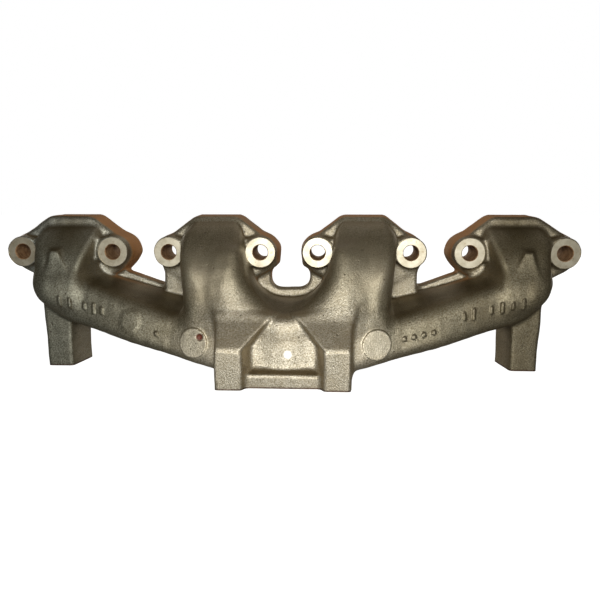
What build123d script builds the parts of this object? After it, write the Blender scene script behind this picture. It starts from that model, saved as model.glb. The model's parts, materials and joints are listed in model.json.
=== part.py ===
"""Bare cast-iron exhaust manifold for an inline four-cylinder engine. All sizes are in millimetres.

Frame: +X runs along the engine, +Y points into the cylinder head and +Z is up. The origin is on the face that
bolts to the head (Y = 0), halfway along the straight line of the eight bolt holes (Z = 0).

The real object is one casting. It is modelled as its named sections, which meet face to face: four port flanges,
the branches that turn down from them, two logs that slope to a central collector, the outlet flange that faces
down, and the webs, gussets, feet, pads and ribs cast onto them. The gas way through them is open from end to end.
"""
from build123d import *
import os

# Driving dimensions
PORT_PITCH = 114.3  # between the centres of neighbouring ports
BOLT_OFFSET = 35.25  # from a port's centre to each of its two bolts
BOLT_HOLE_R = 5.75  # clearance for M10
BOSS_R = 11.75
BOSS_FRONT = -35.0  # the spot face that a bolt's head bears on
FLANGE_FRONT = -26.0
PORT_R = 17.0
WALL = 5.0

WEB_FRONT = -17.0
WEB_BACK = -2.0  # the webs stand back from the machined face

OUTLET_FACE = -87.5  # lowest plane: the outlet flange and the two feet stand on it
OUTLET_Y = -62.0
OUTLET_R = 25.0
OUTLET_WAY_TOP = -71.0  # just above the collector's rounded floor
OUTLET_PLATE_TOP = -78.0
OUTLET_HALF_WIDTH = 45.4
OUTLET_HALF_DEPTH = 45.0
OUTLET_BOLT_X = 36.3
OUTLET_BOLT_Y = 35.0
TAP_R = 4.25  # tapping drill for M10
TAP_DEPTH = 22.0

INNER_PORT = PORT_PITCH / 2
OUTER_PORT = PORT_PITCH * 1.5

os.makedirs("parts", exist_ok=True)


def save(built, label):
    """Labels a finished section and writes its STEP file."""
    built.part.label = label
    export_step(built.part, f"parts/{label}.step")


def save_pair(built, right_label, left_label):
    """Writes a right-hand section and its mirror image for the left."""
    save(built, right_label)
    with BuildPart() as other_hand:
        mirror(built.part, about=Plane.YZ)
    save(other_hand, left_label)


# Log: each station is a rounded rectangle in a plane of constant X, given as its X, front Y, back Y, top Z and
# bottom Z. The log slopes down and swells forward on its way to the middle of the engine.
LOG_CORNER = 9.0
LOG_END = (192.0, -61.0, -12.0, -23.0, -58.0)
LOG_OUTER = (148.0, -61.0, -12.0, -20.0, -61.5)
LOG_MIDDLE = (81.0, -72.0, -12.0, -37.0, -75.5)
LOG_INNER = (50.0, -86.0, -13.0, -41.0, -80.0)
LOG_CENTRE = (0.0, -90.0, -16.0, -44.0, -80.0)


def station(at, inset):
    """One station's rounded rectangle, inset all round."""
    x, front, back, top, bottom = at
    with BuildSketch(Plane.YZ.offset(x)) as section:
        with Locations(((front + back) / 2, (top + bottom) / 2)):
            RectangleRounded(
                back - front - 2 * inset, top - bottom - 2 * inset, LOG_CORNER - inset
            )
    return section.sketch


def log_length(start, end, inset=0.0):
    """The solid between two stations."""
    with BuildPart() as length:
        loft([station(start, inset), station(end, inset)], ruled=True)
    return length.part


# Branches: a round pipe that leaves the port along -Y, turns down through a quarter bend and enters the log
OUTER_BRANCH = {"x": OUTER_PORT, "radius": 21.0, "bend": 21.5, "turn": -17.5, "foot": -40.0}
INNER_BRANCH = {"x": INNER_PORT, "radius": 23.0, "bend": 24.0, "turn": -25.0, "foot": -56.0}


def pipe(branch, radius, hand=1):
    """The solid swept by a circle along a branch's centre line, from the head face to the middle of the log."""
    x = hand * branch["x"]
    bend = branch["bend"]
    turn = branch["turn"]
    with BuildPart() as swept:
        with BuildLine(Plane.YZ.offset(x)) as path:
            start = Line((0, 0), (turn, 0))
            quarter = JernArc(start @ 1, (-1, 0), bend, 90)
            Line(quarter @ 1, (turn - bend, branch["foot"]))
        with BuildSketch(Plane.XZ):
            with Locations((x, 0)):
                Circle(radius)
        sweep(path=path.wire())
    return swept.part


# Solids that neighbouring sections are trimmed to
outer_way = pipe(OUTER_BRANCH, PORT_R)
inner_way = pipe(INNER_BRANCH, PORT_R)
outer_pipe = pipe(OUTER_BRANCH, OUTER_BRANCH["radius"])
inner_pipe = pipe(INNER_BRANCH, INNER_BRANCH["radius"])
end_log = log_length(LOG_END, LOG_OUTER)
outer_log = log_length(LOG_OUTER, LOG_MIDDLE)
inner_log = log_length(LOG_MIDDLE, LOG_INNER)
centre_log = log_length(LOG_INNER, LOG_CENTRE)
END_WAY = (LOG_END[0] - 2 * WALL,) + LOG_END[1:]
end_way = log_length(END_WAY, LOG_OUTER, WALL)
outer_log_way = log_length(LOG_OUTER, LOG_MIDDLE, WALL)
inner_log_way = log_length(LOG_MIDDLE, LOG_INNER, WALL)
centre_way = log_length(LOG_INNER, LOG_CENTRE, WALL)

# Port flanges: an outline about each port's centre, drawn with its outer side towards +X
FLANGE_ROUND = 4.0
FLAT_HALF = 17.0
FLANGE_HALF_HEIGHT = 28.0
POINTED_TIP = [(43.0, 8.0), (48.3, -1.5), (41.5, -14.5)]
LUG_TIP = [(40.0, 13.5), (46.5, 8.4), (50.7, -2.0), (44.0, -14.5)]
BLUNT_TIP = [(43.0, 8.0), (48.2, 3.0), (48.2, -12.0), (41.0, -16.5)]


def port_flange(x, inner_tip, outer_tip, way):
    """A thick flange with two bolt bosses, their holes and the port."""
    inner_points = [(-px, pz) for px, pz in reversed(inner_tip)]
    top = [(-FLAT_HALF, FLANGE_HALF_HEIGHT), (FLAT_HALF, FLANGE_HALF_HEIGHT)]
    bottom = [(FLAT_HALF, -FLANGE_HALF_HEIGHT), (-FLAT_HALF, -FLANGE_HALF_HEIGHT)]
    outline = [(x + px, pz) for px, pz in top + outer_tip + bottom + inner_points]
    with BuildPart() as flange:
        with BuildSketch(Plane.XZ) as face:
            Polygon(outline, align=None)
            fillet(face.vertices(), FLANGE_ROUND)
        extrude(amount=-FLANGE_FRONT)
        chamfer(flange.faces().sort_by(Axis.Y)[0].edges(), 1.5)
        with BuildSketch(Plane.XZ.offset(-FLANGE_FRONT - 2)):
            with Locations((x - BOLT_OFFSET, 0), (x + BOLT_OFFSET, 0)):
                Circle(BOSS_R)
        extrude(amount=FLANGE_FRONT - BOSS_FRONT + 2)
        with BuildSketch(Plane.XZ):
            with Locations((x - BOLT_OFFSET, 0), (x + BOLT_OFFSET, 0)):
                Circle(BOLT_HOLE_R)
        extrude(amount=-BOSS_FRONT, mode=Mode.SUBTRACT)
        add(way, mode=Mode.SUBTRACT)
    return flange


inner_flange = port_flange(INNER_PORT, BLUNT_TIP, POINTED_TIP, inner_way)
outer_flange = port_flange(OUTER_PORT, POINTED_TIP, LUG_TIP, outer_way)
save_pair(inner_flange, "port_flange_3", "port_flange_2")
save_pair(outer_flange, "port_flange_4", "port_flange_1")

# Branches, cut off at the flange behind them and trimmed to the log below
def branch(pattern, hand, logs, label):
    """A branch's wall, from the front of its flange to the top of the log."""
    with BuildPart() as bend:
        add(pipe(pattern, pattern["radius"], hand))
        split(bisect_by=Plane.XZ.offset(-FLANGE_FRONT), keep=Keep.TOP)
        for neighbour in logs:
            add(mirror(neighbour, about=Plane.YZ, mode=Mode.PRIVATE) if hand < 0 else neighbour, mode=Mode.SUBTRACT)
        add(pipe(pattern, PORT_R, hand), mode=Mode.SUBTRACT)
    save(bend, label)


branch(OUTER_BRANCH, -1, (end_log,), "branch_1")
branch(INNER_BRANCH, -1, (inner_log, centre_log), "branch_2")
branch(INNER_BRANCH, 1, (inner_log, centre_log), "branch_3")
branch(OUTER_BRANCH, 1, (end_log,), "branch_4")

# Log sections
END_ROUND = 7.0
with BuildPart() as log_end:
    add(end_log)
    fillet(log_end.faces().sort_by(Axis.X)[-1].edges(), END_ROUND)
    for neighbour in (end_way, outer_way, outer_flange.part):
        add(neighbour, mode=Mode.SUBTRACT)
save_pair(log_end, "log_end_right", "log_end_left")

with BuildPart() as log_outer:
    add(outer_log)
    for neighbour in (outer_log_way, outer_flange.part):
        add(neighbour, mode=Mode.SUBTRACT)
save_pair(log_outer, "log_outer_right", "log_outer_left")

with BuildPart() as log_inner:
    add(inner_log)
    for hollow in (inner_log_way, inner_way):
        add(hollow, mode=Mode.SUBTRACT)
save_pair(log_inner, "log_inner_right", "log_inner_left")

# Collector: both halves of the centre of the log, with the outlet opening down
with BuildPart() as outlet_way:
    with BuildSketch(Plane.XY.offset(OUTLET_FACE)):
        with Locations((0, OUTLET_Y)):
            Circle(OUTLET_R)
    extrude(amount=OUTLET_WAY_TOP - OUTLET_FACE)

STUD_BOSS_R = 9.0
STUD_BOSS_TOP = -60.0
with BuildPart() as stud_boss:
    with BuildSketch(Plane.XY.offset(OUTLET_PLATE_TOP)):
        with Locations((OUTLET_BOLT_X, OUTLET_Y + OUTLET_BOLT_Y)):
            Circle(STUD_BOSS_R)
    extrude(amount=STUD_BOSS_TOP - OUTLET_PLATE_TOP)
    with BuildSketch(Plane.XY.offset(OUTLET_PLATE_TOP)):
        with Locations((OUTLET_BOLT_X, OUTLET_Y + OUTLET_BOLT_Y)):
            Circle(TAP_R)
    extrude(amount=OUTLET_FACE + TAP_DEPTH - OUTLET_PLATE_TOP, mode=Mode.SUBTRACT)
save_pair(stud_boss, "stud_boss_right", "stud_boss_left")

with BuildPart() as collector:
    add(centre_log)
    for hollow in (centre_way, inner_way):
        add(hollow, mode=Mode.SUBTRACT)
    with BuildSketch(Plane.XY.offset(OUTLET_PLATE_TOP)):
        with Locations((OUTLET_BOLT_X, OUTLET_Y + OUTLET_BOLT_Y)):
            Circle(STUD_BOSS_R)
    extrude(amount=STUD_BOSS_TOP - OUTLET_PLATE_TOP, mode=Mode.SUBTRACT)
    mirror(about=Plane.YZ)
    add(outlet_way.part, mode=Mode.SUBTRACT)
    with BuildSketch(Plane.XY.offset(OUTLET_FACE)):
        with Locations((0, OUTLET_Y)):
            Rectangle(2 * OUTLET_HALF_WIDTH, 2 * OUTLET_HALF_DEPTH)
    extrude(amount=OUTLET_PLATE_TOP - OUTLET_FACE, mode=Mode.SUBTRACT)
save(collector, "collector")

# Outlet flange: a square plate with its front edge cut back between two ears, bored and tapped for four studs
EAR_INNER = 27.0
PLATE_FRONT_BETWEEN_EARS = -101.0
FRONT = OUTLET_Y - OUTLET_HALF_DEPTH
with BuildPart() as outlet_flange:
    with BuildSketch(Plane.XY.offset(OUTLET_FACE)) as plate:
        with Locations((0, OUTLET_Y)):
            RectangleRounded(2 * OUTLET_HALF_WIDTH, 2 * OUTLET_HALF_DEPTH, 6)
        with Locations((0, FRONT)):
            Rectangle(2 * EAR_INNER, 2 * (PLATE_FRONT_BETWEEN_EARS - FRONT), mode=Mode.SUBTRACT)
    extrude(amount=OUTLET_PLATE_TOP - OUTLET_FACE)
    add(outlet_way.part, mode=Mode.SUBTRACT)
    with Locations((0, OUTLET_Y, OUTLET_PLATE_TOP)):
        with GridLocations(2 * OUTLET_BOLT_X, 2 * OUTLET_BOLT_Y, 2, 2):
            Hole(TAP_R)
save(outlet_flange, "outlet_flange")

# Ears: the front corners of the outlet flange stand up as sloping blocks against the collector
EAR_OUTER = 45.4
EAR_TOP = -60.0
FACET_TOP = -40.0
with BuildPart() as ear:
    with BuildSketch(Plane.YZ.offset(EAR_INNER - 6)):
        Polygon(
            (-80, OUTLET_PLATE_TOP), (FRONT, OUTLET_PLATE_TOP), (FRONT, EAR_TOP), (-88, FACET_TOP), (-80, FACET_TOP),
            align=None,
        )
    extrude(amount=EAR_OUTER - EAR_INNER + 6)
    for neighbour in (centre_log, inner_log, inner_pipe):
        add(neighbour, mode=Mode.SUBTRACT)
    with BuildSketch(Plane.XY.offset(OUTLET_PLATE_TOP)):
        with Locations((OUTLET_BOLT_X, OUTLET_Y - OUTLET_BOLT_Y)):
            Circle(TAP_R)
    extrude(amount=OUTLET_FACE + TAP_DEPTH - OUTLET_PLATE_TOP, mode=Mode.SUBTRACT)
save_pair(ear, "outlet_ear_right", "outlet_ear_left")

# Webs: the wall that ties the flanges together and the log to them
WEB_SIDE = [(128.5, -12.0), (128.0, -18.0), (111.0, -23.5), (105.0, -25.0), (105.0, -45.0), (142.0, -36.0), (142.0, -12.0)]
WEB_CENTRE = [(0.0, -30.3), (12.0, -30.3), (16.0, -23.0), (16.0, -12.0), (30.0, -12.0), (30.0, -50.0), (0.0, -50.0)]


def web(outline, neighbours, both_hands=False):
    """A wall cut to an outline and trimmed to what it joins."""
    with BuildPart() as wall:
        with BuildSketch(Plane.XZ.offset(-WEB_BACK)):
            Polygon(outline, align=None)
        extrude(amount=WEB_BACK - WEB_FRONT)
        for neighbour in neighbours:
            add(neighbour, mode=Mode.SUBTRACT)
        if both_hands:
            mirror(about=Plane.YZ)
    return wall


side_web = web(WEB_SIDE, (outer_flange.part, outer_log, end_log))
save_pair(side_web, "web_right", "web_left")
centre_web = web(WEB_CENTRE, (inner_flange.part, centre_log, inner_log), both_hands=True)
save(centre_web, "web_centre")

# Gussets: the neck under each inner flange's outer bolt, down to the log
GUSSET_FRONT = -23.0
with BuildPart() as gusset:
    with BuildSketch(Plane.XZ.offset(-WEB_BACK)):
        Polygon((105.0, -14.0), (105.0, -45.0), (81.0, -45.0), (81.0, -14.0), align=None)
    extrude(amount=WEB_BACK - GUSSET_FRONT)
    for neighbour in (inner_flange.part, outer_log, inner_log, inner_pipe):
        add(neighbour, mode=Mode.SUBTRACT)
save_pair(gusset, "gusset_right", "gusset_left")

# Feet
FOOT_INNER = 166.0
FOOT_OUTER = 186.5
FOOT_FRONT = -47.0
FOOT_BACK = -16.0
with BuildPart() as foot:
    with BuildSketch(Plane.XY.offset(OUTLET_FACE)):
        with Locations(((FOOT_INNER + FOOT_OUTER) / 2, (FOOT_FRONT + FOOT_BACK) / 2)):
            RectangleRounded(FOOT_OUTER - FOOT_INNER, FOOT_BACK - FOOT_FRONT, 2.5)
    extrude(amount=-50.0 - OUTLET_FACE)
    add(end_log, mode=Mode.SUBTRACT)
save_pair(foot, "foot_right", "foot_left")

# Round cast pads on the front of the log
PAD_X = 64.5
PAD_Z = -59.8
PAD_R = 10.4
PAD_FRONT = -85.0
with BuildPart() as pad:
    with BuildSketch(Plane.XZ.offset(-PAD_FRONT)):
        with Locations((PAD_X, PAD_Z)):
            Circle(PAD_R)
    extrude(amount=PAD_FRONT + 70.0)
    add(inner_log, mode=Mode.SUBTRACT)
save_pair(pad, "cast_pad_right", "cast_pad_left")

# Short ribs down the fronts of the two outer branches
RIB_INNER = 170.0
RIB_OUTER = 179.0
with BuildPart() as rib:
    with BuildSketch(Plane.YZ.offset(RIB_INNER)):
        Polygon((-40.0, 6.0), (-56.0, 0.0), (-61.5, -12.0), (-61.5, -20.5), (-45.0, -20.5), align=None)
    extrude(amount=RIB_OUTER - RIB_INNER)
    for neighbour in (outer_pipe, end_log):
        add(neighbour, mode=Mode.SUBTRACT)
save_pair(rib, "branch_rib_right", "branch_rib_left")
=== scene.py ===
"""The exhaust manifold as it looks: sand-cast iron with machined faces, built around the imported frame.

The casting is one implicit surface: rounded solids joined by smooth unions, as a pattern maker blends
them with fillets. It is meshed section by section on one shared grid, so neighbouring sections meet
without a step, and then machined as the real one is: faced, bored, spot-faced and drilled by Boolean
cutters. Shapes are worked out in millimetres in the frame of the CAD model and put into the scene in
metres.
"""
import json
import math
import bmesh
import bpy
import numpy as np
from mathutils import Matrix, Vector


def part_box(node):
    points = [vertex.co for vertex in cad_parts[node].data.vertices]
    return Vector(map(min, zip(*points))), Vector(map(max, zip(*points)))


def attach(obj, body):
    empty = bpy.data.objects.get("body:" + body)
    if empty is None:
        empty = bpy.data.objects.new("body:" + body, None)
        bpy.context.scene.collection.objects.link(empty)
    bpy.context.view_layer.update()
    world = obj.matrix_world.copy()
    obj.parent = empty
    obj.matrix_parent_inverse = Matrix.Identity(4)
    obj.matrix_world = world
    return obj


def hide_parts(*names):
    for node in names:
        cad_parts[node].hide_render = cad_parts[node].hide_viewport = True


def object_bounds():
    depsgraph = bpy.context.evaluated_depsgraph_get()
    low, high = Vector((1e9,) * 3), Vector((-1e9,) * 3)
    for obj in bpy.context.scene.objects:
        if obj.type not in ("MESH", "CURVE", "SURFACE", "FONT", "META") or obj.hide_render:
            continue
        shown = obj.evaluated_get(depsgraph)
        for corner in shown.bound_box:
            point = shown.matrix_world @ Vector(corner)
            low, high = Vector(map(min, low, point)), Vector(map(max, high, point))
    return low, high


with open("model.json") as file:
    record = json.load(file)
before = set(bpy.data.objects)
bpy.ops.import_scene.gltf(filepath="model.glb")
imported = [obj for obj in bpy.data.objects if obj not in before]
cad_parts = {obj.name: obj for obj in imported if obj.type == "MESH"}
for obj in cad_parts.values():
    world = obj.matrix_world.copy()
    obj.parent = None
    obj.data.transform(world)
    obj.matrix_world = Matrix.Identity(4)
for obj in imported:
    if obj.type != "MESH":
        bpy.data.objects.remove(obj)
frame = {"record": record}
CAD_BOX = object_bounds()
MM = 0.001
GRID = 1.0  # the size of a mesh cell, in millimetres

MOUNTS = {mount["name"]: mount for mount in frame["record"]["mounts"]}


def node_box(node):
    """A CAD node's lowest and highest corners, in millimetres."""
    low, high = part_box(node)
    return [value / MM for value in low], [value / MM for value in high]


# Places and sizes read from the frame. The casting is the same on both sides, so X is the distance from
# the middle, and the right side's nodes are read.
INNER_PORT = MOUNTS["port_3"]["pos_m"][0] / MM
OUTER_PORT = MOUNTS["port_4"]["pos_m"][0] / MM
BOLTS = [MOUNTS["head_bolts_" + pair]["dims"]["spacing_x_mm"] / 2 for pair in "abcd"]
BOLT_R = MOUNTS["head_bolts_a"]["dims"]["hole_r_mm"]
PORT_R = MOUNTS["port_3"]["dims"]["r_mm"]
OUTLET_Y = MOUNTS["outlet"]["pos_m"][1] / MM
OUTLET_R = MOUNTS["outlet"]["dims"]["r_mm"]
OUTLET_FACE = MOUNTS["outlet_face"]["pos_m"][2] / MM
STUD_X = MOUNTS["outlet_studs"]["dims"]["spacing_x_mm"] / 2
STUD_Y = MOUNTS["outlet_studs"]["dims"]["spacing_y_mm"] / 2
STUD_R = MOUNTS["outlet_studs"]["dims"]["hole_r_mm"]
BOSS_FRONT = node_box("port_flange_3")[0][1]
FLANGE_FRONT = node_box("branch_3")[1][1]
FLANGE_TOP = node_box("port_flange_3")[1][2]
WEB_FRONT = node_box("web_right")[0][1]
WEB_BACK = node_box("web_right")[1][1]
PLATE_TOP = node_box("outlet_flange")[1][2]
PLATE_HALF = node_box("outlet_flange")[1][0]
EAR_FRONT = node_box("outlet_flange")[0][1]
PLATE_BACK = node_box("outlet_flange")[1][1]
PAD = [(low + high) / 2 for low, high in zip(*node_box("cast_pad_right"))]
PAD_R = (node_box("cast_pad_right")[1][0] - node_box("cast_pad_right")[0][0]) / 2
PAD_FRONT = node_box("cast_pad_right")[0][1]
FOOT_LOW, FOOT_HIGH = node_box("foot_right")
RIB_OUTSIDE = node_box("branch_rib_right")[1][0]

# --------------------------------------------------------------------------------------------------
# Implicit solids: negative inside, about a millimetre of value for each millimetre of distance
# --------------------------------------------------------------------------------------------------


def join(a, b, blend):
    """Union with a fillet."""
    overlap = np.maximum(blend - np.abs(a - b), 0.0) / blend
    return np.minimum(a, b) - overlap * overlap * blend * 0.25


def clip(a, b, blend):
    """Intersection with a rounded edge."""
    return -join(-a, -b, blend)


def cut(a, b, blend):
    """a with b taken away, and the edge rounded."""
    return clip(a, -b, blend)


def convex(u, v, points, blend):
    """A convex outline in the plane of u and v, with rounded corners. Points run either way round."""
    middle_u = sum(p[0] for p in points) / len(points)
    middle_v = sum(p[1] for p in points) / len(points)
    solid = None
    for (u0, v0), (u1, v1) in zip(points, points[1:] + points[:1]):
        length = math.hypot(u1 - u0, v1 - v0)
        normal_u, normal_v = (v1 - v0) / length, (u0 - u1) / length
        if (middle_u - u0) * normal_u + (middle_v - v0) * normal_v > 0:
            normal_u, normal_v = -normal_u, -normal_v
        edge = (u - u0) * normal_u + (v - v0) * normal_v
        solid = edge if solid is None else clip(solid, edge, blend)
    return solid


def between(value, low, high, blend):
    """A slab."""
    return clip(low - value, value - high, blend)


EASE = 5.0  # how far each side of a station its corner is eased


def follow(x, stations):
    """A value that changes along the log from station to station, with its corners eased."""
    places, values = zip(*stations)
    before, here, after = (np.interp(x + shift, places, values) for shift in (-EASE, 0.0, EASE))
    return (before + 2 * here + after) / 4


WAY_RADIUS = 30.0  # the bend's radius, at the middle of the way
WAY_NARROWS_FROM, WAY_NARROWS_OVER = 4.0, 32.0  # depths below the port's middle
WAY_NARROWS_BY, WAY_SHIFTS_BY = 4.5, 1.5


def bend(x, y, z, centre_x, turn, pipe):
    """A round way that leaves the port along -Y and narrows as it turns down through a quarter circle."""
    lower = np.clip((-z - WAY_NARROWS_FROM) / WAY_NARROWS_OVER, 0.0, 1.0)
    centre_x = centre_x - WAY_SHIFTS_BY * lower
    pipe = pipe - WAY_NARROWS_BY * lower
    back = y - turn
    up = z + WAY_RADIUS
    along_arc = np.hypot(back, up) - WAY_RADIUS
    off_axis = np.where(back >= 0, z + 0 * y, np.where(up <= 0, -back - WAY_RADIUS, along_arc))
    return np.hypot(off_axis, x - centre_x) - pipe


def ripple(x, y, z, size, seed):
    """Smooth unevenness from crossed waves, between about -1 and 1."""
    rng = np.random.default_rng(seed)
    total = 0.0
    for _ in range(6):
        way = rng.normal(size=3)
        way *= 2 * math.pi / size / np.linalg.norm(way)
        total = total + np.sin(x * way[0] + y * way[1] + z * way[2] + rng.uniform(0, 2 * math.pi))
    return total / 3


# Flanges ------------------------------------------------------------------------------------------
# Each half outline is (distance from the port, Z), from the flat top to the flat bottom.
FLAT = 17.0  # half the length of the flat top and bottom
SLANT = [(FLAT, FLANGE_TOP), (43.0, 8.0), (48.3, -1.5), (41.5, -14.5), (FLAT, -FLANGE_TOP)]
BLUNT = [(FLAT, FLANGE_TOP), (43.5, 8.0), (48.2, 3.5), (48.2, -11.5), (41.0, -16.5), (FLAT, -FLANGE_TOP)]
LUG = [
    (FLAT, FLANGE_TOP), (40.0, 13.5), (46.5, 8.6), (50.6, -1.0), (49.0, -8.0), (43.5, -14.5),
    (FLAT, -FLANGE_TOP),
]
FLANGE_DRAFT = 0.035
BOSS_R, BOSS_DRAFT = 11.9, 0.02
SPOT_ALLOWANCE = 0.7  # how much iron the spot facing takes off a boss
BOSS_PADS = (14.8, -14.0, 17.8, -13.5)  # how far each boss's pad runs towards its port


def flange_outline(port, inner, outer):
    """A flange's outline from the half towards the middle of the engine and the half away from it."""
    towards = [(port - u, v) for u, v in inner]
    away = [(port + u, v) for u, v in reversed(outer)]
    return towards + away


def flanges(x, y, z):
    """The two flanges of one side, with a little draft towards the front, and their bolt bosses."""
    inner = convex(x, z, flange_outline(INNER_PORT, BLUNT, SLANT), 2.5)
    outer = convex(x, z, flange_outline(OUTER_PORT, SLANT, LUG), 2.5)
    solid = clip(np.minimum(inner, outer) - FLANGE_DRAFT * y, FLANGE_FRONT - y, 5.0)
    raw_boss_front = BOSS_FRONT - SPOT_ALLOWANCE
    for bolt in BOLTS:
        boss = np.hypot(x - bolt, z) - BOSS_R - BOSS_DRAFT * (y - BOSS_FRONT)
        solid = join(solid, clip(boss, raw_boss_front - y, 1.2), 4.0)
    for bolt, side in zip(BOLTS, BOSS_PADS):
        width = between(x, min(bolt, bolt + side), max(bolt, bolt + side), 2.0)
        pad = clip(width, between(z, -7.0, 10.5, 4.0), 2.0)
        solid = join(solid, clip(pad, BOSS_FRONT + 0.8 - y, 3.0), 3.0)
    return solid


# Branches: domed in the side view, flat-topped like the flange in the front view ------------------
# Domes and yoke are (Y, Z) outlines; faces are (X from the port, Z) outlines.
INNER_DOME = [
    (-9.0, 25.0), (-27.5, 25.0), (-57.5, 5.0), (-71.0, -8.0), (-77.0, -22.0), (-79.0, -50.0),
    (-14.0, -50.0),
]
YOKE = [
    (-14.0, 3.0), (-64.0, 3.0), (-71.5, -8.0), (-79.0, -22.0), (-87.8, -45.0), (-87.8, -50.0),
    (-14.0, -60.0),
]
OUTER_DOME = [
    (-9.0, 22.0), (-28.5, 21.0), (-47.5, 2.5), (-57.0, -12.0), (-61.0, -24.0), (-61.0, -34.0),
    (-14.0, -34.0),
]
INNER_FACE = [(-23.0, -70.0), (-23.6, 14.0), (-7.5, 36.0), (8.5, 36.0), (24.4, 12.0), (14.0, -70.0)]
OUTER_FACE = [
    (-30.0, -60.0), (-30.0, 10.0), (-9.0, 34.0), (7.0, 34.0), (25.0, 12.0), (24.3, -5.0), (12.0, -60.0),
]
YOKE_HALF = 49.0
SPLAY_UP, SPLAY_BACK = 0.168, 0.22  # how the splayed side leans with height and with depth


def splay(x, y, z):
    """The side of the outer branch that faces the middle: it widens towards the flange."""
    steepness = 1.04
    return (OUTER_PORT - x - 19.0 - SPLAY_UP * (z - 9.0) - SPLAY_BACK * (y + 50.0)) / steepness


def branches(x, y, z):
    """The two domes of one side, and the yoke that the bowl between the inner domes is hollowed from."""
    rounding = np.interp(z, (-25.0, 2.0, 22.0), (18.0, 9.0, 4.0))
    inner = clip(
        convex(y, z, INNER_DOME, 7.0),
        convex(x, z, [(INNER_PORT + u, v) for u, v in INNER_FACE], 4.0),
        rounding,
    )
    outer = clip(
        convex(y, z, OUTER_DOME, 8.0),
        convex(x, z, [(OUTER_PORT + u, v) for u, v in OUTER_FACE], 4.0),
        rounding,
    )
    outer = clip(outer, splay(x, y, z), 5.0)
    yoke = clip(convex(y, z, YOKE, 7.0), x - YOKE_HALF, 14.0)
    return join(inner, yoke, 14.0), outer


# Logs: straight runs that slope to the middle, and a rounded end under each outer port ------------
# Top, bottom and front are (X, Z or Y) stations; the end is an (X, Z) outline.
LOG_TOP = [(0.0, -28.0), (45.0, -34.0), (78.0, -43.0), (112.0, -33.6), (150.0, -21.8), (230.0, -21.0)]
LOG_BOTTOM = [(0.0, -80.0), (52.0, -80.0), (148.0, -61.0), (230.0, -61.0)]
LOG_FRONT = [(0.0, -80.0), (50.0, -80.5), (65.0, -77.5), (82.0, -73.0), (150.0, -60.5), (230.0, -60.5)]
LOG_BACK = -12.0
LOG_END = [
    (-20.0, 40.0), (197.0, -9.0), (198.0, -17.0), (189.5, -35.0), (180.0, -48.0), (168.0, -57.0),
    (150.0, -62.5), (-20.0, -113.0),
]
LEAN, LEAN_ENDS, LEAN_FADES = 0.27, 170.0, 60.0
LID_FALL = 0.13  # how much the log's top falls towards the front


def log_front(x, z):
    """Where the front of the log is: it leans out towards its foot, except near the end."""
    lean = LEAN * np.clip((LEAN_ENDS - x) / LEAN_FADES, 0.0, 1.0)
    return follow(x, LOG_FRONT) - lean * (follow(x, LOG_TOP) - z)


def logs(x, y, z):
    """One side's log, whose top falls a little towards the front."""
    top = follow(x, LOG_TOP)
    bottom = follow(x, LOG_BOTTOM)
    front = log_front(x, z)
    faces = between(y, front, LOG_BACK, 16.0) / math.hypot(1.0, LEAN)
    lids = between(z, bottom, top + LID_FALL * (y - front), 14.0)
    solid = clip(faces, lids, 13.0)
    return clip(solid, convex(x, z, LOG_END, 10.0), 16.0)


# Collector: the middle of the log, its outlet plate and the two ears ------------------------------
BULGE = [
    (-60.0, -41.5), (-84.0, -42.0), (-87.8, -44.5), (-90.6, -55.0), (-91.0, -66.0), (-90.4, -84.0),
    (-20.0, -84.0), (-20.0, -41.5),
]
BULGE_R = 25.0  # how sharply the bulge curves round in plan
BULGE_HALF, BULGE_BACK = 43.0, -24.0
PLATE_FRONT = -101.0
BELOW = OUTLET_FACE - 6.0  # low enough for the outlet facing to leave a flat end
EAR_TOP_Z = -60.0  # where the upright front of an ear turns into its facet
EAR_RIDGE_Z = -39.5
RIGHT_EAR_FALL, LEFT_EAR_FALL = 0.15, 0.03  # how much the ridge falls away from the middle
EAR_HALF_GAP, EAR_WIDENS = 27.5, 0.72
EAR_BACK = -60.0
FACET_RISE, FACET_RUN = 20.0, 21.0
FACET = math.hypot(FACET_RISE, FACET_RUN)


def collector(x, y, z):
    """The bulge between the ears, and the outlet plate."""
    ends = np.maximum(x - BULGE_HALF, y - BULGE_BACK)
    bulge = clip(convex(y - x * x / (2 * BULGE_R), z, BULGE, 4.0), ends, 2.0)
    plate = clip(between(y, PLATE_FRONT, PLATE_BACK, 3.0), between(z, BELOW, PLATE_TOP + 0.3, 3.0), 3.0)
    return join(bulge, clip(plate, x - PLATE_HALF, 4.0), 4.0)


def ears(signed_x, y, z):
    """The front corners of the outlet flange, each standing up to a sloping facet that widens upwards."""
    x = np.abs(signed_x)
    above = np.maximum(z - EAR_TOP_Z, 0.0)
    facet = (-FACET_RISE * (y - EAR_FRONT) + FACET_RUN * (z - EAR_TOP_Z)) / FACET
    inner_wall = EAR_HALF_GAP - EAR_WIDENS * above - 0.22 * (y - EAR_FRONT) - x
    outer_wall = x - PLATE_HALF - 0.8 - 0.1 * above - 0.02 * (y - EAR_FRONT)
    top = z - EAR_RIDGE_Z - np.where(signed_x > 0, RIGHT_EAR_FALL, LEFT_EAR_FALL) * (x - 14.0)
    solid = clip(clip(EAR_FRONT - y, facet, 2.5), clip(inner_wall, outer_wall, 3.0), 3.0)
    return clip(clip(solid, top, 2.0), clip(y - EAR_BACK, BELOW - z, 2.0), 2.0)


BOWL_FRONT_HALF, BOWL_BACK_HALF = 31.0, 31.5
BOWL_FRONT_POWER, BOWL_BACK_POWER = 1.7, 2.2  # how square its bottom is
BOWL_DEPTH, BOWL_DEEPENS = 35.6, 0.06
BOWL_SCALE = 0.85  # brings the value near to a distance


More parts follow.
